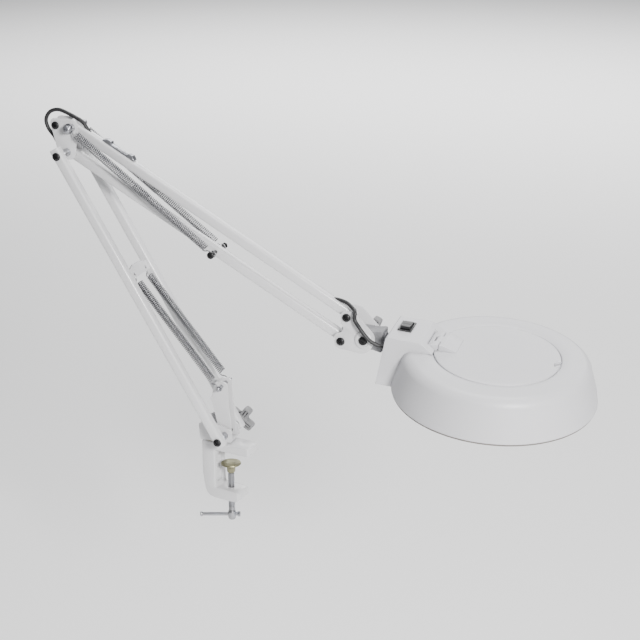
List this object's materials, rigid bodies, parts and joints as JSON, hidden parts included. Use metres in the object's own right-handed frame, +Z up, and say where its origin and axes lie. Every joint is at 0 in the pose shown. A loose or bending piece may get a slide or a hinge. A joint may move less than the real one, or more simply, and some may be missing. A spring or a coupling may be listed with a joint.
{
  "type": "magnifying lamp",
  "caption": "Bench magnifying lamp with a screw clamp, a sprung two-part arm and a round lighted head with a hinged lens cover.",
  "frame": {"origin": "on the plane of the table top, under the clamp's upper jaw, on the swivel post's axis", "axes": "+Z up out of the table, +X along the clamp's jaw over the table. The arm stands turned 10 degrees about +Z from +X"},
  "size_m": [0.6123, 0.233, 0.4665],
  "materials": {
    "white_paint": "gloss powder coat",
    "white_plastic": "smooth moulded, semi-gloss",
    "grey_plastic": "fine matt texture",
    "die_cast": "tumbled casting, grey lacquer",
    "steel": "zinc plated",
    "black_steel": "black oxide",
    "zinc": "yellow passivated zinc plate",
    "black_plastic": "satin",
    "rubber": "matt cable sheath",
    "glass": "polished lens",
    "diffuser": "frosted",
    "board": "solder-resist white"
  },
  "bodies": {
    "clamp_frame": {"clamp_body": "white_paint", "swivel_washer": "steel"},
    "pad": {"clamp_pad": "zinc"},
    "screw": {"clamp_screw": "steel"},
    "t_bar": {"t_bar": "steel", "t_bar_collar": "steel"},
    "swivel_base": {"swivel_post": "steel", "base_bracket": "white_paint", "spring_lever": "white_paint", "lever_spring_pin": "steel", "base_spacer_near": "steel", "base_spacer_far": "steel", "base_bolt": "black_steel"},
    "base_knob": {"base_knob": "grey_plastic"},
    "lower_arm": {"lower_tube_near": "white_paint", "lower_tube_far": "white_paint", "lower_bridge": "white_paint", "elbow_plate_near": "white_paint", "elbow_plate_far": "white_paint", "elbow_spacer_near": "steel", "elbow_spacer_far": "steel", "elbow_bolt": "black_steel", "spring_spool_near": "steel", "spring_spool_far": "steel", "elbow_top_bolt": "steel", "elbow_stop_bolt": "black_steel", "lower_spring_near": "steel", "lower_spring_far": "steel", "lead_arm": "rubber"},
    "upper_arm": {"upper_tube_top": "white_paint", "lead_clip": "steel", "upper_spring_near": "steel", "upper_spring_far": "steel"},
    "upper_link": {"upper_tube_bottom": "white_paint", "upper_spring_bolt": "black_steel"},
    "head_bracket": {"head_plate_near": "white_paint", "head_plate_far": "white_paint", "head_bolt_bottom": "black_steel", "head_bolt_top": "black_steel", "tilt_boss": "white_paint", "tilt_bolt": "black_steel", "lead_head_a": "rubber"},
    "head_knob": {"head_knob": "grey_plastic"},
    "knuckle": {"knuckle": "die_cast", "lead_head_b": "rubber"},
    "head": {"head_cover": "white_plastic", "lower_cover": "white_plastic", "neck_floor": "black_plastic", "lens": "glass", "lens_ring": "white_plastic", "diffuser": "diffuser", "inner_bezel": "white_plastic", "led_board": "board", "driver_board": "board", "switch_bezel": "black_plastic", "hinge_block": "white_plastic", "cover_pin": "steel", "lead_head_c": "rubber"},
    "rocker": {"switch_rocker": "black_plastic"},
    "lens_cover": {"lens_cover": "white_plastic"}
  },
  "joints": [
    {"name": "base_swivel", "type": "hinge", "parent": "clamp_frame", "child": "swivel_base", "pos_m": [0, 0, 0], "axis": [0, 0, 1], "range_deg": [-40, 180]},
    {"name": "lower_arm_pivot", "type": "hinge", "parent": "swivel_base", "child": "lower_arm", "pos_m": [0.01773, 0.00313, 0.0195], "axis": [0.1736, -0.9848, 0], "range_deg": [-45, 30], "deforming": ["lower_spring_near", "lower_spring_far"]},
    {"name": "upper_arm_pivot", "type": "hinge", "parent": "lower_arm", "child": "upper_arm", "pos_m": [-0.15314, -0.027, 0.35877], "axis": [0.1736, -0.9848, 0], "range_deg": [-18, 50], "deforming": ["upper_spring_near", "upper_spring_far", "lead_arm"]},
    {"name": "upper_link_pivot", "type": "hinge", "parent": "lower_arm", "child": "upper_link", "pos_m": [-0.15954, -0.02813, 0.33127], "axis": [0.1736, -0.9848, 0], "range_deg": [-18, 50]},
    {"name": "head_bracket_pivot", "type": "hinge", "parent": "upper_arm", "child": "head_bracket", "pos_m": [0.15901, 0.02804, 0.17577], "axis": [0.1736, -0.9848, 0], "range_deg": [-50, 18], "deforming": ["lead_head_a"]},
    {"name": "head_tilt", "type": "hinge", "parent": "head_bracket", "child": "knuckle", "pos_m": [0.17772, 0.03134, 0.15227], "axis": [0.1736, -0.9848, 0], "range_deg": [-60, 45], "deforming": ["lead_head_b"]},
    {"name": "head_roll", "type": "hinge", "parent": "knuckle", "child": "head", "pos_m": [0.17772, 0.03134, 0.15227], "axis": [0.9824, 0.1732, -0.0698], "range_deg": [-40, 40], "deforming": ["lead_head_c"]},
    {"name": "cover_hinge", "type": "hinge", "parent": "head", "child": "lens_cover", "pos_m": [0.25623, 0.04401, 0.15687], "axis": [0.1648, -0.9798, -0.1129], "range_deg": [0, 105]},
    {"name": "switch_rock", "type": "hinge", "parent": "head", "child": "rocker", "pos_m": [0.22053, 0.04029, 0.16804], "axis": [0.9824, 0.1732, -0.0698], "range_deg": [0, 12]},
    {"name": "base_knob_turn", "type": "hinge", "parent": "swivel_base", "child": "base_knob", "pos_m": [0.01773, 0.00313, 0.0195], "axis": [0.1736, -0.9848, 0], "continuous": true},
    {"name": "head_knob_turn", "type": "hinge", "parent": "head_bracket", "child": "head_knob", "pos_m": [0.17772, 0.03134, 0.15227], "axis": [0.1736, -0.9848, 0], "continuous": true},
    {"name": "pad_travel", "type": "slide", "parent": "clamp_frame", "child": "pad", "axis": [0, 0, 1], "range_m": [-0.0165, 0.014]},
    {"name": "screw_turn", "type": "hinge", "parent": "pad", "child": "screw", "pos_m": [0.022, 0, 0], "axis": [0, 0, 1], "range_deg": [-4760, 4040]},
    {"name": "t_bar_slide", "type": "slide", "parent": "screw", "child": "t_bar", "axis": [0.8829, 0.4695, 0], "range_m": [-0.0005, 0.027]}
  ],
  "couplings": [
    {"joint": "upper_link_pivot", "follows": "upper_arm_pivot", "ratio": 1},
    {"joint": "head_bracket_pivot", "follows": "upper_arm_pivot", "ratio": -1},
    {"joint": "screw_turn", "follows": "pad_travel", "rad_per_m": 5026.5}
  ]
}
